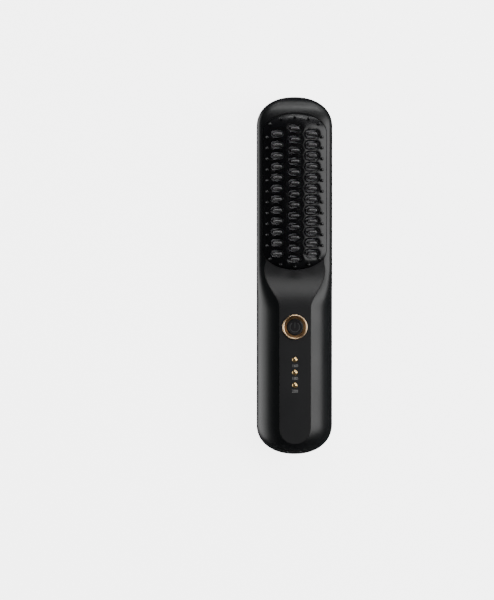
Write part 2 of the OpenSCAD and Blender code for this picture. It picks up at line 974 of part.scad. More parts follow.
back_shell();
front_cover();
front_panel();
comb_plate();
guard_pins();
heater_plate();
teeth(0);  // teeth_middle
teeth(-1);  // teeth_left
teeth(1);  // teeth_right
tips(0);  // tips_middle
tips(-1);  // tips_left
tips(1);  // tips_right
heating_elements();
insulation_sheet();
pressure_plate();
heater_tray();
thermal_fuse();
temperature_sensor();
tray_screws();
housing_screws();
button_ring();
power_button();
switch_base();
switch_dome();
switch_plunger();
switch_frame();
light_pipes();
indicator_leds();
circuit_board();
controller_chip();
power_transistor();
charge_socket();
socket_tongue();
battery_cell();
battery_tabs();
battery_pad();
battery_leads();
heater_leads();
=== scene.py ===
"""A cordless hair straightening brush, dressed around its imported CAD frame."""
import bmesh
import bpy
import json
import math
from mathutils import Matrix, Vector


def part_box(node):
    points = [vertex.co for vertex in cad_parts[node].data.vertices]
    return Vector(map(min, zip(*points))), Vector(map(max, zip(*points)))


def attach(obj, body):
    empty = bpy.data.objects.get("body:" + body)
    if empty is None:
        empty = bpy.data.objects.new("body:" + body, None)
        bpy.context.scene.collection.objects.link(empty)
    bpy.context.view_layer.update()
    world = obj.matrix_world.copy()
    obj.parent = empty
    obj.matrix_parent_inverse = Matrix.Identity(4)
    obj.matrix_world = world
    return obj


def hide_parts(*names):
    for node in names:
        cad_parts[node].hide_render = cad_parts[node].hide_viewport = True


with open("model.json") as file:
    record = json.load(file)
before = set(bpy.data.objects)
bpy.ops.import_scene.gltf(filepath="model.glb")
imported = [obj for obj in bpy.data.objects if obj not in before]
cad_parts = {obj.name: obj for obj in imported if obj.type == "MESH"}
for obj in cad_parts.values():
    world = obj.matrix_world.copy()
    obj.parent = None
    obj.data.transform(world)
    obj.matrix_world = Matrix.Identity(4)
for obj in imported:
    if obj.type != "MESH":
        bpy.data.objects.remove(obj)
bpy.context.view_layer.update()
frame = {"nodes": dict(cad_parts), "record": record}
cad = frame["nodes"]
MM = 0.001


# Camera
# The photograph looks almost straight down on the brush through a long lens.
# Its frame is 494 by 600 pixels, and one pixel covers 0.577 mm of the brush.
frame_height = 344.6 * MM
camera_distance = 2.4
camera_lean_y = math.radians(1.6)
camera_lean_x = math.radians(0.8)
look_at = Vector((-27.2 * MM, -14.0 * MM, 16.0 * MM))
sensor_height = 36.0

camera_data = bpy.data.cameras.new("camera")
camera_data.sensor_fit = "VERTICAL"
camera_data.sensor_height = sensor_height
camera_data.lens = camera_data.sensor_height * camera_distance / frame_height
camera = bpy.data.objects.new("camera", camera_data)
bpy.context.collection.objects.link(camera)
away = Vector((-math.tan(camera_lean_x), math.tan(camera_lean_y), 1.0)).normalized()
camera.location = look_at + away * camera_distance
across = Vector((0, 1, 0)).cross(away).normalized()
camera.rotation_euler = Matrix((across, away.cross(across), away)).transposed().to_euler()
bpy.context.scene.camera = camera


# Studio
# A bright white table top, a large soft light on the right, two smaller ones
# beyond the head, and a surround that glows low on the left. The table isn't
# mirrored in the brush, so its edges stay dark as in the photograph.
table_size = 4.0
table_glow = 4.6
aim = Vector((0, 0, 0.02))

table_mesh = bpy.data.meshes.new("table_top")
bm = bmesh.new()
bmesh.ops.create_grid(bm, x_segments=2, y_segments=2, size=table_size / 2)
bm.to_mesh(table_mesh)
bm.free()
table_top = bpy.data.objects.new("table_top", table_mesh)
bpy.context.collection.objects.link(table_top)
table_finish = bpy.data.materials.new("table_finish")
table_finish.use_nodes = True
table_shader = table_finish.node_tree.nodes["Principled BSDF"]
table_shader.inputs["Base Color"].default_value = (0.93, 0.93, 0.93, 1)
table_shader.inputs["Roughness"].default_value = 0.9
table_shader.inputs["Specular IOR Level"].default_value = 0.1
table_shader.inputs["Emission Color"].default_value = (1, 1, 1, 1)
table_shader.inputs["Emission Strength"].default_value = table_glow
table_top.data.materials.append(table_finish)
table_top.visible_glossy = False


def soft_light(name, place, size, power):
    """A rectangular area light that faces the brush."""
    lamp = bpy.data.lights.new(name, "AREA")
    lamp.shape = "RECTANGLE"
    lamp.size, lamp.size_y = size
    lamp.energy = power
    lamp_object = bpy.data.objects.new(name, lamp)
    lamp_object.location = place
    lamp_object.rotation_euler = (Vector(place) - aim).to_track_quat("Z", "Y").to_euler()
    bpy.context.collection.objects.link(lamp_object)


soft_light("right_light", (1.08, 0.1, 1.03), (1.0, 1.4), 21.5)
soft_light("far_light", (0.1, 1.16, 1.05), (0.9, 0.26), 7.3)
soft_light("head_light", (0.35, 1.4, 0.6), (1.6, 0.3), 7)

glow_direction = (-0.97, 0.0, -0.24)
glow_edge = 0.76
glow_low, glow_high = 0.03, 3.4
surround = bpy.data.worlds.new("surround")
surround.use_nodes = True
glow = surround.node_tree.nodes
ray = glow.new("ShaderNodeTexCoord")
toward = glow.new("ShaderNodeVectorMath")
toward.operation = "DOT_PRODUCT"
toward.inputs[1].default_value = glow_direction
band = glow.new("ShaderNodeMapRange")
band.interpolation_type = "SMOOTHSTEP"
band.inputs["From Min"].default_value = glow_edge
band.inputs["From Max"].default_value = 1.0
band.inputs["To Min"].default_value = glow_low
band.inputs["To Max"].default_value = glow_high
surround.node_tree.links.new(ray.outputs["Generated"], toward.inputs[0])
surround.node_tree.links.new(toward.outputs["Value"], band.inputs["Value"])
surround.node_tree.links.new(band.outputs["Result"], glow["Background"].inputs["Strength"])
glow["Background"].inputs["Color"].default_value = (1, 1, 1, 1)
bpy.context.scene.world = surround


# Back shell
# The rear half of the housing: a deep rounded tray moulded in satin black
# plastic, with a narrow flat along its middle that the brush rests on.
body_half_length = 102.5 * MM
body_half_width = 21.75 * MM
body_end = 17.4 * MM
body_start = body_half_length - body_end
seam_z = 16.0 * MM
back_depth = 16.3 * MM
shell_wall = 1.5 * MM
seam_half_gap = 0.07 * MM
end_power = 2.2
handle_end_power = 3.0
end_steps = 26
side_steps = 120
shell_rings = 26
weld = 0.002 * MM


def super_arc(share, power):
    """Height of a superellipse's quarter at this share of its width."""
    return (1 - min(1.0, share) ** power) ** (1 / power) if share < 1 else 0.0


def end_share(y):
    return max(0.0, (abs(y) - body_start) / body_end)


def half_width(y):
    return body_half_width * super_arc(end_share(y), end_power)


def back_height(x, y):
    """Height of the back's surface over the table."""
    width = half_width(y)
    fall = back_depth * super_arc(end_share(y), handle_end_power)
    across = abs(x) / width if width > 0 else 1.0
    return max(0.0, seam_z - fall * super_arc(across, 2.0))


def blend(a, b, share):
    return a + (b - a) * share


def loop_places(low, low_reach, high, high_reach, width_at):
    """One closed loop round the body in plan: its ends by angle, its sides by y."""
    angles = [math.pi / 2 * i / end_steps for i in range(end_steps + 1)]
    ys = [low - low_reach * math.sin(a) for a in reversed(angles)]
    ys += [blend(low, high, i / side_steps) for i in range(1, side_steps)]
    ys += [high + high_reach * math.sin(a) for a in angles]
    right = [(width_at(y), y) for y in ys[1:-1]]
    left = [(-x, y) for x, y in reversed(right)]
    return [(0.0, ys[0])] + right + [(0.0, ys[-1])] + left


def made_of(kind, made):
    """The verts or the edges among what an operator made."""
    return [part for part in made if isinstance(part, kind)]


def next_ring(bm, ring, edges):
    """Extrudes a ring's edges, and gives the new verts in the old ring's order."""
    made = bmesh.ops.extrude_edge_only(bm, edges=edges)["geom"]
    fresh = set(made_of(bmesh.types.BMVert, made))
    follows = [next(e.other_vert(v) for e in v.link_edges if e.other_vert(v) in fresh) for v in ring]
    return follows, made_of(bmesh.types.BMEdge, made)


def loft_between(outer, inner, height, ease):
    """A skin from an outer loop to an inner one, each ring extruded from the last."""
    bm = bmesh.new()
    ring = bmesh.ops.create_circle(bm, segments=len(outer), radius=1)["verts"]
    edges = list(bm.edges)
    for vert, (x, y) in zip(ring, outer):
        vert.co = (x, y, height(x, y))
    for step in range(1, shell_rings + 1):
        share = ease(step / shell_rings)
        ring, edges = next_ring(bm, ring, edges)
        for vert, a, b in zip(ring, outer, inner):
            x, y = blend(a[0], b[0], share), blend(a[1], b[1], share)
            vert.co = (x, y, height(x, y))
    bmesh.ops.remove_doubles(bm, verts=bm.verts, dist=weld)
    bmesh.ops.recalc_face_normals(bm, faces=bm.faces)
    return bm


def finish_mesh(name, bm, material, body="housing", smooth_angle=35):
    """Turns a bmesh into a smooth-shaded piece that rides on a body."""
    mesh = bpy.data.meshes.new(name)
    bm.to_mesh(mesh)
    bm.free()
    mesh.materials.append(material)
    for face in mesh.polygons:
        face.use_smooth = True
    mesh.set_sharp_from_angle(angle=math.radians(smooth_angle))
    piece = bpy.data.objects.new(name, mesh)
    bpy.context.collection.objects.link(piece)
    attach(piece, body)
    return piece


def new_socket(group, name, way, kind, value=None):
    socket = group.interface.new_socket(name=name, in_out=way, socket_type=kind)
    if value is not None:
        socket.default_value = value


grain_height = 0.02 * MM
grain_scale, grain_strength = 2600, 0.05
smudge_scale, tone_scale = 38, 160
tone_low, tone_high = 0.82, 1.18


def moulded_group():
    """Fine spark texture and slight gloss changes, as moulded plastic has."""
    group = bpy.data.node_groups.new("moulded_surface", "ShaderNodeTree")
    new_socket(group, "Grain Scale", "INPUT", "NodeSocketFloat", grain_scale)
    new_socket(group, "Grain Depth", "INPUT", "NodeSocketFloat", grain_strength)
    new_socket(group, "Gloss Low", "INPUT", "NodeSocketFloat", 0.3)
    new_socket(group, "Gloss High", "INPUT", "NodeSocketFloat", 0.4)
    new_socket(group, "Roughness", "OUTPUT", "NodeSocketFloat")
    new_socket(group, "Normal", "OUTPUT", "NodeSocketVector")
    nodes, links = group.nodes, group.links
    given = nodes.new("NodeGroupInput")
    result = nodes.new("NodeGroupOutput")
    place = nodes.new("ShaderNodeTexCoord")
    grain = nodes.new("ShaderNodeTexNoise")
    grain.inputs["Detail"].default_value = 3
    smudge = nodes.new("ShaderNodeTexNoise")
    smudge.inputs["Scale"].default_value = smudge_scale
    smudge.inputs["Detail"].default_value = 4
    spread = nodes.new("ShaderNodeMapRange")
    bump = nodes.new("ShaderNodeBump")
    bump.inputs["Distance"].default_value = grain_height
    links.new(place.outputs["Object"], grain.inputs["Vector"])
    links.new(place.outputs["Object"], smudge.inputs["Vector"])
    links.new(given.outputs["Grain Scale"], grain.inputs["Scale"])
    links.new(grain.outputs["Fac"], bump.inputs["Height"])
    links.new(given.outputs["Grain Depth"], bump.inputs["Strength"])
    links.new(smudge.outputs["Fac"], spread.inputs["Value"])
    spread.inputs["From Min"].default_value = 0.3
    spread.inputs["From Max"].default_value = 0.7
    links.new(given.outputs["Gloss Low"], spread.inputs["To Min"])
    links.new(given.outputs["Gloss High"], spread.inputs["To Max"])
    links.new(spread.outputs["Result"], result.inputs["Roughness"])
    links.new(bump.outputs["Normal"], result.inputs["Normal"])
    return group


moulded_surface = moulded_group()


def moulded(name, colour, gloss, grain=(grain_scale, grain_strength), metallic=0.0,
            specular=0.5, coat=0.0):
    """A moulded or plated finish that uses the shared surface group."""
    material = bpy.data.materials.new(name)
    material.use_nodes = True
    nodes, links = material.node_tree.nodes, material.node_tree.links
    shader = nodes["Principled BSDF"]
    shader.inputs["Metallic"].default_value = metallic
    shader.inputs["Specular IOR Level"].default_value = specular
    shader.inputs["Coat Weight"].default_value = coat
    surface = nodes.new("ShaderNodeGroup")
    surface.node_tree = moulded_surface
    surface.inputs["Grain Scale"].default_value = grain[0]
    surface.inputs["Grain Depth"].default_value = grain[1]
    surface.inputs["Gloss Low"].default_value = gloss[0]
    surface.inputs["Gloss High"].default_value = gloss[1]
    place = nodes.new("ShaderNodeTexCoord")
    tone = nodes.new("ShaderNodeTexNoise")
    tone.inputs["Scale"].default_value = tone_scale
    tone.inputs["Detail"].default_value = 5
    shade = nodes.new("ShaderNodeMapRange")
    shade.inputs["To Min"].default_value = tone_low
    shade.inputs["To Max"].default_value = tone_high
    tint = nodes.new("ShaderNodeVectorMath")
    tint.operation = "SCALE"
    tint.inputs[0].default_value = colour
    links.new(place.outputs["Object"], tone.inputs["Vector"])
    links.new(tone.outputs["Fac"], shade.inputs["Value"])
    links.new(shade.outputs["Result"], tint.inputs["Scale"])
    links.new(tint.outputs["Vector"], shader.inputs["Base Color"])
    links.new(surface.outputs["Roughness"], shader.inputs["Roughness"])
    links.new(surface.outputs["Normal"], shader.inputs["Normal"])
    return material


def give_wall(piece, thickness):
    """Gives an open skin its moulded wall, on the side away from its face."""
    wall = piece.modifiers.new("wall", "SOLIDIFY")
    wall.thickness = thickness
    wall.offset = -1


housing_black = moulded("housing_black", (0.0045, 0.005, 0.0055), (0.30, 0.36), specular=0.4)

body_outline = loop_places(-body_start, body_end, body_start, body_end, half_width)
spine = [(0.0, max(-body_start, min(body_start, y))) for x, y in body_outline]
back_skin = loft_between(body_outline, spine,
                         lambda x, y: max(0.0, back_height(x, y) - seam_half_gap),
                         lambda t: 1 - math.cos(math.pi / 2 * t))
housing_back = finish_mesh("housing_back", back_skin, housing_black)
give_wall(housing_back, shell_wall)
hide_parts("back_shell")


# Front cover
# The front half of the housing, moulded in the same satin black. Its section
# changes from the high round handle to the low flat-topped head, and the
# panel's flat cuts it along a crease that widens down the neck.
handle_crown = 16.0 * MM
head_crown = 9.0 * MM
head_end_power = 2.2
handle_power = 2.0
head_power = 5.0
panel_rise = 14.6 * MM
ramp_start = -18.5 * MM
ramp_length = 24.5 * MM
morph_start = ramp_start - 2.5 * MM
morph_length = ramp_length + 4.5 * MM
plate_edge_z = seam_z + head_crown - 0.5 * MM
plate_half_width = 18.0 * MM
plate_half_length = 44.65 * MM
plate_middle = 48.4 * MM
plate_end = 11.0 * MM
plate_gap = 0.25 * MM
rim_round = 0.18 * MM
rim_angle = math.radians(50)
skin_ease = 0.75


def eased(share):
    share = max(0.0, min(1.0, share))
    return share * share * (3 - 2 * share)


def to_head(y):
    return eased((y - morph_start) / morph_length)


def front_rise(y):
    power = head_end_power if y > 0 else handle_end_power
    return blend(handle_crown, head_crown, to_head(y)) * super_arc(end_share(y), power)


def front_height(x, y):
    """Height of the front's rounded surface over the table."""
    width = half_width(y)
    across = abs(x) / width if width > 0 else 1.0
    return seam_z + front_rise(y) * super_arc(across, blend(handle_power, head_power, to_head(y)))


def panel_height(y):
    return seam_z + blend(panel_rise, plate_edge_z - seam_z, eased((y - ramp_start) / ramp_length))


def crease(y):
    """Half width of the flat that the panel's face cuts from the body."""
    rise = front_rise(y)
    share = (panel_height(y) - seam_z) / rise if rise > 0 else 1.0
    return half_width(y) * super_arc(share, blend(handle_power, head_power, to_head(y)))


def plate_width(y, grow=0.0):
    """Half width of the comb plate's outline at y."""
    reach = plate_end + grow
    past = max(0.0, abs(y - plate_middle) - (plate_half_length - plate_end)) / reach
    return (plate_half_width + grow) * math.sqrt(max(0.0, 1 - past * past))


panel_reach = body_end * super_arc(panel_rise / handle_crown, handle_end_power)
plate_top_start = plate_middle + plate_half_length - plate_end


def mouth_width(y):
    """Half width of the front cover's opening: the crease, then the plate."""
    if y > plate_middle - plate_half_length + plate_end:
        return plate_width(y, plate_gap)
    if y < plate_middle - plate_half_length - plate_gap:
        return crease(y)
    return max(crease(y), plate_width(y, plate_gap))


mouth = loop_places(-body_start, panel_reach, plate_top_start, plate_end + plate_gap, mouth_width)


def front_skin_height(x, y):
    return max(seam_z + seam_half_gap, front_height(x, y))


front_skin = loft_between(body_outline, mouth, front_skin_height,
                          lambda t: blend(t, 1 - math.cos(math.pi / 2 * t), skin_ease))
housing_front = finish_mesh("housing_front", front_skin, housing_black)
give_wall(housing_front, shell_wall)


def oval_bar(bm, width, depth, length, segments=36):
    """An upright bar with an oval section, longer across x than along y."""
    bar = bmesh.ops.create_cone(bm, cap_ends=True, segments=segments, radius1=depth / 2,
                                radius2=depth / 2, depth=length)["verts"]
    for vert in bar:
        if abs(vert.co.x) > 1e-7:
            vert.co.x += math.copysign((width - depth) / 2, vert.co.x)
    return bar


def as_tool(name, bm):
    """A cutting shape as an object that isn't in the scene yet."""
    mesh = bpy.data.meshes.new(name)
    bm.to_mesh(mesh)
    bm.free()
    return bpy.data.objects.new(name, mesh)


def cut(piece, tool, paint=None):
    """Cuts a tool's shape out of a piece for good. The cut's faces can take a paint."""
    if paint:
        tool.data.materials.append(paint)
    bpy.context.collection.objects.link(tool)
    step = piece.modifiers.new("cut", "BOOLEAN")
    step.operation = "DIFFERENCE"
    step.solver = "EXACT"
    step.object = tool
    step.material_mode = "TRANSFER" if paint else "INDEX"
    seen = bpy.context.evaluated_depsgraph_get()
    result = bpy.data.meshes.new_from_object(piece.evaluated_get(seen))
    piece.modifiers.clear()
    old = piece.data
    piece.data = result
    bpy.data.meshes.remove(old)
    bpy.data.objects.remove(tool)


socket_box = [Vector(corner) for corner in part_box("charge_socket")]
socket_size = socket_box[1] - socket_box[0]
socket_place = (socket_box[0] + socket_box[1]) / 2
socket_fit = 0.2 * MM
socket_bm = bmesh.new()
opening = oval_bar(socket_bm, socket_size.x + 2 * socket_fit,
                   socket_size.z + 2 * socket_fit, socket_size.y * 2)
bmesh.ops.rotate(socket_bm, verts=opening, cent=(0, 0, 0), matrix=Matrix.Rotation(math.pi / 2, 3, "X"))
bmesh.ops.translate(socket_bm, verts=opening, vec=socket_place)
cut(housing_front, as_tool("socket_opening", socket_bm))
rim = housing_front.modifiers.new("rim", "BEVEL")
rim.width = rim_round
rim.segments = 2
rim.limit_method = "ANGLE"
rim.angle_limit = rim_angle
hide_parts("front_cover")


# Front panel
# A matt black inlay that fills the flat between the creases. It runs from the
# round end of the handle, down the ramp of the neck, to the comb plate.
panel_thickness = 1.2 * MM
panel_clearance = 0.1 * MM
button_y = -29.1 * MM
ring_radius = 7.2 * MM
ring_seat = ring_radius - 0.8 * MM
light_ys = [(-47.8 - 7.28 * i) * MM for i in range(3)]
light_radius = 1.55 * MM
prong_end = 9.6 * MM

panel_black = moulded("panel_black", (0.010, 0.010, 0.011), (0.36, 0.42), grain=(3200, 0.1))


panel_foot = plate_middle - plate_half_length - plate_gap
panel_tail = -body_start - panel_reach + panel_clearance
panel_rows = 160
panel_columns = 18
panel_step = 2 / panel_columns
hole_cut = 5 * MM


def panel_line(share):
    """A row's place along the panel, close together in the round end and the prongs."""
    bend, neck = 0.2, 0.75
    if share < bend:
        angle = math.pi / 2 * (1 - share / bend)
        return -body_start + (panel_tail + body_start) * math.sin(angle)
    if share < neck:
        return blend(-body_start, panel_foot, (share - bend) / (neck - bend))
    return blend(panel_foot, prong_end, ((share - neck) / (1 - neck)) ** 2)


panel_bm = bmesh.new()
bmesh.ops.create_grid(panel_bm, x_segments=panel_columns, y_segments=panel_rows, size=1)
for vert in panel_bm.verts:
    across, along = vert.co.x, (vert.co.y + 1) / 2
    y = panel_line(along)
    outer = max(0.0, crease(y) - panel_clearance) if along > 0 else 0.0
    inner = min(outer, plate_width(y, plate_gap)) if y > panel_foot else 0.0
    spread = max(0.0, (abs(across) - panel_step) / (1 - panel_step))
    x = math.copysign(blend(inner, outer, spread), across) if abs(across) > 1e-6 else 0.0
    vert.co = (x, y, panel_height(y))
beyond = [v for v in panel_bm.verts if abs(v.co.x) < 1e-9 and v.co.y > panel_foot + 0.001 * MM]
bmesh.ops.delete(panel_bm, geom=beyond, context="VERTS")
bmesh.ops.remove_doubles(panel_bm, verts=panel_bm.verts, dist=2 * weld)
bmesh.ops.dissolve_degenerate(panel_bm, edges=panel_bm.edges, dist=weld / 2)
bmesh.ops.recalc_face_normals(panel_bm, faces=panel_bm.faces)
if sum(face.normal.z for face in panel_bm.faces) < 0:
    bmesh.ops.reverse_faces(panel_bm, faces=panel_bm.faces)
grown = bmesh.ops.extrude_face_region(panel_bm, geom=list(panel_bm.faces))["geom"]
bmesh.ops.translate(panel_bm, vec=(0, 0, -panel_thickness),
                    verts=made_of(bmesh.types.BMVert, grown))
bmesh.ops.recalc_face_normals(panel_bm, faces=panel_bm.faces)
inlay = finish_mesh("inlay_panel", panel_bm, panel_black)


def cutter(name, discs):
    """Round cutters for holes, each (x, y, low, high, radius), kept out of the scene."""
    bm = bmesh.new()
    for x, y, low, high, radius in discs:
        made = bmesh.ops.create_cone(bm, cap_ends=True, segments=64, radius1=radius,
                                     radius2=radius, depth=high - low)["verts"]
        bmesh.ops.translate(bm, verts=made, vec=(x, y, (low + high) / 2))
    return as_tool(name, bm)


panel_top = panel_height(button_y)
hole_low, hole_high = panel_top - hole_cut, panel_top + hole_cut
holes = [(0, button_y, hole_low, hole_high, ring_seat)]
holes += [(0, y, hole_low, hole_high, light_radius) for y in light_ys]
cut(inlay, cutter("panel_holes", holes))
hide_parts("front_panel")


# Comb plate
# The crowned cover of the head, semi-gloss black. Every tooth comes up through
# an oval well whose rim rolls softly down into it.
plate_crown = 3.0 * MM
plate_thickness = 2.0 * MM
tooth_pitch = 6.22 * MM
column_gap = 9.9 * MM
row_shift = 1.4 * MM
column_counts = {"left": 12, "middle": 13, "right": 12}
column_sides = {"left": -1, "middle": 0, "right": 1}
well_width = 7.6 * MM
well_depth = 4.3 * MM
well_roll = 0.55 * MM
well_reach = 0.75 * MM
edge_power = 8
across_steps, along_steps = 84, 200

plate_black = moulded("plate_black", (0.005, 0.005, 0.006), (0.22, 0.29), grain=(3000, 0.03), specular=0.34)


def column_places(name):
    count = column_counts[name]
    x = column_sides[name] * column_gap
    return [(x, plate_middle - row_shift + (i - (count - 1) / 2) * tooth_pitch) for i in range(count)]


def oval_distance(x, y):
    """Distance outside a well's oval, less than nothing inside it."""
    run = (well_width - well_depth) / 2
    return math.hypot(max(0.0, abs(x) - run), y) - well_depth / 2


wells = [place for name in column_counts for place in column_places(name)]


def plate_height(x, y):
    width = plate_width(y)
    if width <= 0:
        return plate_edge_z
    crown = plate_crown * width / plate_half_width * max(0.0, 1 - (x / width) ** 2)
    return plate_edge_z + crown


def well_dip(x, y):
    near = min(oval_distance(x - a, y - b) for a, b in wells)
    return well_roll * math.exp(-max(0.0, near) / well_reach)


plate_bm = bmesh.new()
straight = (plate_half_length - plate_end) / plate_half_length
bmesh.ops.create_grid(plate_bm, x_segments=across_steps, y_segments=along_steps, size=1)
for vert in plate_bm.verts:
    share = max(-1.0, min(1.0, vert.co.y))
    if abs(share) > straight:
        bend = math.sin(math.pi / 2 * (abs(share) - straight) / (1 - straight))
        y = plate_middle + math.copysign(plate_half_length - plate_end + plate_end * bend, share)
    else:
        y = plate_middle + share * plate_half_length
    x = vert.co.x * plate_width(y)
    edge = 1 - abs(vert.co.x) ** edge_power
    vert.co = (x, y, plate_height(x, y) - well_dip(x, y) * edge)
bmesh.ops.remove_doubles(plate_bm, verts=plate_bm.verts, dist=1.5 * weld)
grown = bmesh.ops.extrude_face_region(plate_bm, geom=list(plate_bm.faces))["geom"]
for vert in made_of(bmesh.types.BMVert, grown):
    vert.co.z = plate_edge_z - plate_thickness
bmesh.ops.recalc_face_normals(plate_bm, faces=plate_bm.faces)
plate = finish_mesh("crowned_plate", plate_bm, plate_black, smooth_angle=50)

well_bm = bmesh.new()
for x, y in wells:
    oval = oval_bar(well_bm, well_width, well_depth, 10 * plate_thickness)
    bmesh.ops.translate(well_bm, verts=oval, vec=(x, y, plate_edge_z))
cut(plate, as_tool("well_cutters", well_bm))
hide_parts("comb_plate")


# Guard pins
# Short blunt posts round the plate's edge that hold the scalp off the heated
# teeth, moulded in the plate's own plastic.
pin_radius = 0.9 * MM
pin_height = 2.2 * MM
pin_inset = 2.3 * MM
side_pins = 11
pin_pitch = 6.2 * MM
end_pin_angle = math.radians(29)
end_pins = 2
end_pin_out = 0.9 * MM
end_pin_along = 0.6 * MM
pin_root = 1 * MM


def pin_places():
    places = []
    for side in (-1, 1):
        for i in range(side_pins):
            y = plate_middle + (i - (side_pins - 1) / 2) * pin_pitch
            places.append((side * (plate_half_width - pin_inset), y))
        for i in range(-end_pins, end_pins + 1):
            reach_x = plate_half_width - pin_inset + end_pin_out
            reach_y = plate_end - pin_inset + end_pin_along
            end = plate_half_length - plate_end + reach_y * math.cos(end_pin_angle * i)
            places.append((reach_x * math.sin(end_pin_angle * i), plate_middle + side * end))
    return places


def turned(bm, profile, place, steps):
    """Spins a profile of (radius, height) points about an upright axis."""
    verts = [bm.verts.new((r, 0, z)) for r, z in profile]
    edges = [bm.edges.new(pair) for pair in zip(verts, verts[1:])]
    bmesh.ops.spin(bm, geom=verts + edges, cent=(0, 0, 0), axis=(0, 0, 1),
                   angle=math.tau, steps=steps, use_merge=True, use_duplicate=False)
    own = [v for v in bm.verts if not v.tag]
    bmesh.ops.translate(bm, verts=own, vec=place)
    for vert in own:
        vert.tag = True


def rounded_top(radius, height, steps=6):
    """The quarter round from a post's side up to its pole."""
    angles = [math.pi / 2 * i / steps for i in range(steps + 1)]
    return [(radius * math.cos(a), height - radius + radius * math.sin(a)) for a in angles]


pin_bm = bmesh.new()
for x, y in pin_places():
    foot = plate_height(x, y)
    profile = [(0, -pin_root), (pin_radius, -pin_root), (pin_radius, 0)]
    profile += rounded_top(pin_radius, pin_height)
    turned(pin_bm, profile, (x, y, foot), steps=20)
bmesh.ops.remove_doubles(pin_bm, verts=pin_bm.verts, dist=1.5 * weld)
bmesh.ops.recalc_face_normals(pin_bm, faces=pin_bm.faces)
pin_black = moulded("pin_black", (0.012, 0.012, 0.013), (0.14, 0.2), grain=(2400, 0.02), coat=0.3)
pins = finish_mesh("guard_posts", pin_bm, pin_black)
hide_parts("guard_pins")


# Heated teeth and their tips
# Each tooth is a tapered blade with round edges, die-cast with a black ceramic
# coat. A dark heat-resistant tip with a soft rounded top is moulded over it.
heater_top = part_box("heater_plate")[1][2]
tip_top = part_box("tips_middle")[1][2]
tooth_foot = (5.4 * MM, 2.4 * MM)
tooth_head = (4.9 * MM, 1.8 * MM)
tip_height = 2.4 * MM
oval_segments = 28
round_steps = 5
round_reach = math.pi / 2 * 0.96

tooth_black = moulded("tooth_black", (0.016, 0.016, 0.017), (0.30, 0.38), grain=(2400, 0.06))
tip_dark = moulded("tip_dark", (0.05, 0.05, 0.052), (0.22, 0.28), grain=(2400, 0.04))


def oval_stack(bm, x, y, levels):
    """A closed post of stacked ovals, each level (height, width, depth)."""
    ring, edges = None, None
    for z, width, depth in levels:
        run = max(0.0, (width - depth) / 2)
        if ring is None:
            ring = bmesh.ops.create_circle(bm, segments=oval_segments, radius=1, cap_ends=True)["verts"]
            edges = list({e for v in ring for e in v.link_edges})
        else:
            ring, edges = next_ring(bm, ring, edges)
        for i, vert in enumerate(ring):
            angle = math.tau * (i + 0.5) / oval_segments
            side = math.copysign(run, math.cos(angle))
            vert.co = (x + side + depth / 2 * math.cos(angle), y + depth / 2 * math.sin(angle), z)
    bmesh.ops.contextual_create(bm, geom=edges)


tip_foot = tip_top - tip_height
for name in column_counts:
    tooth_bm = bmesh.new()
    tip_bm = bmesh.new()
    for x, y in column_places(name):
        oval_stack(tooth_bm, x, y, [(heater_top, *tooth_foot), (tip_foot, *tooth_head)])
        levels = [(tip_foot, *tooth_head)]
        for i in range(round_steps + 1):
            angle = round_reach * i / round_steps
            drawn = tooth_head[1] / 2 * (1 - math.cos(angle))
            rise = tooth_head[1] / 2 * (math.sin(angle) - 1)
            levels.append((tip_top + rise, tooth_head[0] - 2 * drawn, tooth_head[1] - 2 * drawn))
        oval_stack(tip_bm, x, y, levels)
    bmesh.ops.recalc_face_normals(tooth_bm, faces=tooth_bm.faces)
    bmesh.ops.recalc_face_normals(tip_bm, faces=tip_bm.faces)
    blades = finish_mesh("blades_" + name, tooth_bm, tooth_black)
    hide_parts("teeth_" + name)
    caps = finish_mesh("caps_" + name, tip_bm, tip_dark, smooth_angle=60)
    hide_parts("tips_" + name)


# Button ring
# A turned ring, anodised champagne: a bright half-round rim, and inside it a
# cone of fine turned steps down to the button. The cone's colour is the same
# champagne darkened, painted shade.
ring_height = 0.9 * MM
ring_bore = 4.75 * MM
rim_width = 1.1 * MM
cone_steps = 6
cone_drop = 0.35 * MM
cone_low = -0.25 * MM
tread = 0.1 * MM
seat_fit = 0.06 * MM
rim_steps = 8

champagne = moulded("champagne", (0.95, 0.68, 0.42), (0.25, 0.32), grain=(1800, 0.04), metallic=1.0)
# The cone's finish is the champagne darkened: painted shade, not a finish of its own.
cone_painted_shade = moulded("cone_painted_shade", (0.40, 0.25, 0.13), (0.28, 0.36), grain=(1800, 0.04), metallic=1.0)

ring_in = ring_radius - rim_width
rim_half = rim_width / 2
cone_top = ring_height - cone_drop
ring_profile = [(ring_bore, -panel_thickness), (ring_seat - seat_fit, -panel_thickness),
                (ring_seat - seat_fit, 0), (ring_radius, 0)]
for i in range(rim_steps + 1):
    angle = math.pi * i / rim_steps
    ring_profile.append((ring_in + rim_half * (1 + math.cos(angle)),
                         ring_height - rim_half * (1 - math.sin(angle))))
for i in range(cone_steps):
    high = blend(cone_top, cone_low, i / cone_steps)
    low = blend(cone_top, cone_low, (i + 1) / cone_steps)
    radius = blend(ring_in, ring_bore, (i + 1) / cone_steps)
    ring_profile += [(radius + tread, high), (radius, low)]
ring_profile.append(ring_profile[0])
ring_bm = bmesh.new()
turned(ring_bm, ring_profile, (0, button_y, panel_top), steps=96)
bmesh.ops.remove_doubles(ring_bm, verts=ring_bm.verts, dist=weld)
bmesh.ops.recalc_face_normals(ring_bm, faces=ring_bm.faces)
# Faces inside the rim take the cone's painted shade.
for face in ring_bm.faces:
    middle = face.calc_center_median()
    face.material_index = 1 if math.hypot(middle.x, middle.y - button_y) < ring_in else 0
ring = finish_mesh("champagne_ring", ring_bm, champagne, smooth_angle=28)
ring.data.materials.append(cone_painted_shade)
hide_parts("button_ring")


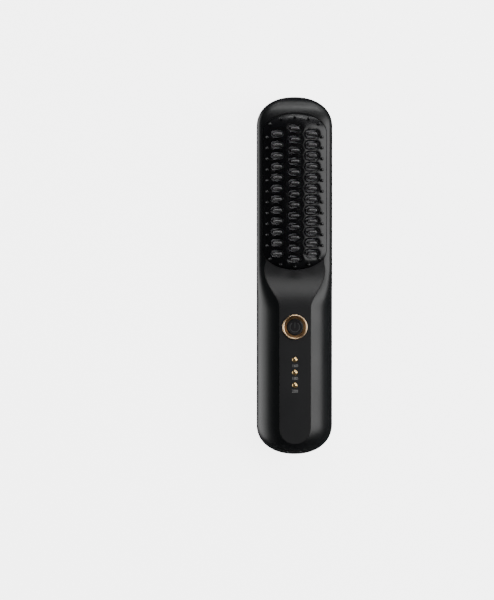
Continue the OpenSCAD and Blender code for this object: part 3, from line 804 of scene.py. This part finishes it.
# Power button
# A round black cap that slides in the ring's bore. Its face is slightly dished,
# and the common power sign, an open arc and a bar, is sunk into it and filled
# with dark grey paint.
button_radius = 4.65 * MM
button_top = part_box("power_button")[1][2]
button_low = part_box("power_button")[0][2]
flange_radius = button_radius + 0.9 * MM
flange_top = button_low + 1.4 * MM
button_round = 0.4 * MM
lip_out, lip_in, lip_fall = 0.12 * MM, 0.1 * MM, 0.1 * MM
button_rim = 0.55 * MM
button_dish = 0.35 * MM
sign_radius = 2.75 * MM
sign_line = 0.5 * MM
sign_depth = 0.3 * MM
sign_bar = 3.3 * MM
sign_bar_middle = 1.1 * MM
sign_gap = math.radians(32)
arc_steps = 40

button_black = moulded("button_black", (0.012, 0.012, 0.013), (0.30, 0.38), grain=(2800, 0.06))

cap_profile = [(0, button_low), (flange_radius, button_low), (flange_radius, flange_top),
               (button_radius, flange_top), (button_radius, button_top - button_round)]
cap_profile += [(button_radius - button_round * (1 - math.cos(a)),
                 button_top - button_round * (1 - math.sin(a)))
                for a in (math.pi / 6, math.pi / 3, math.pi / 2)]
rim_foot = button_radius - button_round - button_rim
dish_floor = button_top - button_dish
cap_profile += [(rim_foot + lip_out, button_top), (rim_foot, button_top - lip_fall),
                (rim_foot - lip_in, dish_floor)]
cap_profile += [(rim_foot * share, dish_floor) for share in (0.8, 0.4, 0)]
cap_bm = bmesh.new()
turned(cap_bm, cap_profile, (0, button_y, 0), steps=72)
bmesh.ops.remove_doubles(cap_bm, verts=cap_bm.verts, dist=weld)
bmesh.ops.recalc_face_normals(cap_bm, faces=cap_bm.faces)
cap = finish_mesh("power_cap", cap_bm, button_black, body="button", smooth_angle=30)

sign_bm = bmesh.new()
arc_ring = bmesh.ops.create_circle(sign_bm, segments=4, radius=sign_line * 0.7, cap_ends=True)["verts"]
bmesh.ops.rotate(sign_bm, verts=arc_ring, cent=(0, 0, 0), matrix=Matrix.Rotation(math.pi / 4, 3, "Z"))
bmesh.ops.rotate(sign_bm, verts=arc_ring, cent=(0, 0, 0), matrix=Matrix.Rotation(math.pi / 2, 3, "X"))
bmesh.ops.translate(sign_bm, verts=arc_ring, vec=(sign_radius, 0, 0))
bmesh.ops.rotate(sign_bm, verts=arc_ring, cent=(0, 0, 0),
                 matrix=Matrix.Rotation(math.pi / 2 + sign_gap, 3, "Z"))
bmesh.ops.spin(sign_bm, geom=sign_bm.faces[:], cent=(0, 0, 0), axis=(0, 0, 1),
               angle=math.tau - 2 * sign_gap, steps=arc_steps, use_duplicate=False)
bar = bmesh.ops.create_cube(sign_bm, size=1)["verts"]
bmesh.ops.scale(sign_bm, verts=bar, vec=(sign_line, sign_bar, sign_line))
bmesh.ops.translate(sign_bm, verts=bar, vec=(0, sign_bar_middle, 0))
bmesh.ops.translate(sign_bm, verts=sign_bm.verts,
                    vec=(0, button_y, dish_floor - sign_depth + sign_line / 2))
bmesh.ops.recalc_face_normals(sign_bm, faces=sign_bm.faces)
sign_grey = moulded("sign_grey", (0.075, 0.075, 0.078), (0.4, 0.5))
cut(cap, as_tool("sign_cutter", sign_bm), sign_grey)
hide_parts("power_button")


# Indicator lights
# Three gold-tinted domes that stand proud of the panel and carry the light of
# the small lamps on the board. Plain grey numbers are printed under them.
dome_rise = 0.7 * MM
dome_steps = 8
deck_thickness = 1.6 * MM
collar_height = 0.8 * MM
collar_radius = light_radius + 0.6 * MM
gold = moulded("light_gold", (0.80, 0.55, 0.25), (0.14, 0.2), grain=(1500, 0.02), metallic=0.9)

pipe_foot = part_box("light_pipes")[0][2]
deck_low = seam_z + panel_rise - panel_thickness - deck_thickness
collar_low = deck_low - collar_height
dome_bm = bmesh.new()
dome_sphere = (light_radius ** 2 + dome_rise ** 2) / (2 * dome_rise)
dome_angle = math.asin(light_radius / dome_sphere)
for y in light_ys:
    profile = [(0, pipe_foot), (light_radius, pipe_foot), (light_radius, collar_low),
               (collar_radius, collar_low), (collar_radius, deck_low), (light_radius, deck_low)]
    for i in range(dome_steps + 1):
        angle = dome_angle * (1 - i / dome_steps)
        profile.append((dome_sphere * math.sin(angle),
                        panel_top + dome_rise - dome_sphere * (1 - math.cos(angle))))
    turned(dome_bm, profile, (0, y, 0), steps=40)
bmesh.ops.remove_doubles(dome_bm, verts=dome_bm.verts, dist=weld)
bmesh.ops.recalc_face_normals(dome_bm, faces=dome_bm.faces)
domes = finish_mesh("light_domes", dome_bm, gold, smooth_angle=40)
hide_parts("light_pipes")

number_size = 2.3625 * MM
number_drop = 3.45 * MM
print_thickness = 0.03 * MM
print_rise = 0.012 * MM
print_grey = moulded("print_grey", (0.24, 0.24, 0.24), (0.5, 0.6), grain=(2000, 0.02))
for value, y in zip(("160", "180", "200"), light_ys):
    words = bpy.data.curves.new("number_" + value, "FONT")
    words.body = value
    words.size = number_size
    words.align_x = "CENTER"
    words.align_y = "CENTER"
    words.extrude = print_thickness / 2
    words.resolution_u = 4
    lettered = bpy.data.objects.new("flat_" + value, words)
    bpy.context.collection.objects.link(lettered)
    seen = bpy.context.evaluated_depsgraph_get()
    mesh = bpy.data.meshes.new_from_object(lettered.evaluated_get(seen))
    bpy.data.objects.remove(lettered)
    mesh.transform(Matrix.Translation((0, y - number_drop, panel_top + print_rise)))
    mesh.materials.clear()
    mesh.materials.append(print_grey)
    figure = bpy.data.objects.new("number_" + value, mesh)
    bpy.context.collection.objects.link(figure)
    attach(figure, "housing")


# Inner pieces
# What the housing closes in keeps its CAD shape: the heater stack, the cell,
# the board with its parts, the screws and the wires. The socket's steel is
# given a dark colour, painted shade, so its opening stays dark without the
# bright lip that plated steel shows.
inner_finishes = {
    "aluminium": moulded("cast_aluminium", (0.62, 0.62, 0.64), (0.35, 0.5), metallic=1.0),
    "ceramic": moulded("white_ceramic", (0.82, 0.80, 0.75), (0.3, 0.4)),
    "insulation": moulded("amber_film", (0.55, 0.30, 0.06), (0.2, 0.3)),
    "steel": moulded("plated_steel", (0.58, 0.58, 0.60), (0.25, 0.35), metallic=1.0),
    "inner_plastic": moulded("inner_plastic", (0.02, 0.02, 0.022), (0.4, 0.5)),
    "led_white": moulded("lamp_white", (0.85, 0.82, 0.62), (0.2, 0.3)),
    "board_green": moulded("board_green", (0.015, 0.11, 0.05), (0.25, 0.35)),
    "cell_wrap": moulded("cell_wrap", (0.03, 0.13, 0.38), (0.2, 0.28)),
    "foam": moulded("grey_foam", (0.07, 0.07, 0.07), (0.8, 0.95), grain=(1500, 0.6)),
    "wire_insulation": moulded("wire_sleeve", (0.5, 0.5, 0.5), (0.4, 0.5)),
}
# A darkened copy of the steel for the charge socket: painted shade in its opening.
socket_steel_painted_shade = moulded("socket_steel_painted_shade", (0.07, 0.07, 0.075), (0.4, 0.5), metallic=1.0)
for part in frame["record"]["subparts"]:
    finish = inner_finishes.get(part["material_slot"])
    if finish is not None:
        node = cad[part["node"]]
        node.data.materials.clear()
        node.data.materials.append(socket_steel_painted_shade if part["node"] == "charge_socket" else finish)
